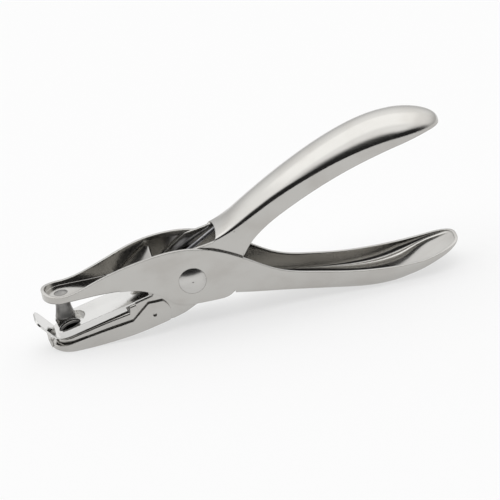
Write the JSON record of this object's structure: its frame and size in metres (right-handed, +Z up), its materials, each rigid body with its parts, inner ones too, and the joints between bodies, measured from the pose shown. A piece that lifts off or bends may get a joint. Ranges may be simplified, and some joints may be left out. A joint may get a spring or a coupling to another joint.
{
  "type": "ticket punch",
  "caption": "Chromed hand punch: two folded levers on one rivet, flared punch over a die plate with paper rest, guide lip and a hinged chip tray.",
  "frame": {"origin": "on the surface the punch stands on, under the middle of its length and width", "axes": "+X from the jaws to the handle ends, +Z up, the levers swing in the XZ plane"},
  "size_m": [0.1388, 0.0202, 0.0557],
  "materials": {
    "plated_sheet": "polished nickel-chrome plate on folded sheet steel",
    "polished_sheet": "mirror-polished plate on thin sheet steel",
    "tool_steel": "turned, hardened, dull grey",
    "rivet_steel": "plated, satin",
    "spring_wire": "drawn spring wire"
  },
  "bodies": {
    "lower_jaw": {"lower_jaw_lever": "plated_sheet", "die_bush": "tool_steel", "stripper_plate": "polished_sheet", "stripper_rivet": "rivet_steel", "pivot_sleeve": "tool_steel", "return_spring": "spring_wire"},
    "upper_jaw": {"upper_jaw_lever": "plated_sheet", "punch_pin": "tool_steel", "pivot_rivet": "rivet_steel", "rivet_set_head": "rivet_steel"},
    "tray": {"chip_tray": "plated_sheet"}
  },
  "joints": [
    {"name": "punch_stroke", "type": "hinge", "parent": "lower_jaw", "child": "upper_jaw", "pos_m": [-0.01773, 0, 0.0161], "axis": [0, -1, 0], "range_deg": [0, 7.6], "stiffness_Nm_per_rad": 0.6, "springref_deg": -74.48, "deforming": ["return_spring"]},
    {"name": "tray_swing", "type": "hinge", "parent": "lower_jaw", "child": "tray", "pos_m": [-0.03152, 0, 0.0072], "axis": [0, -1, 0], "range_deg": [0, 30]}
  ]
}
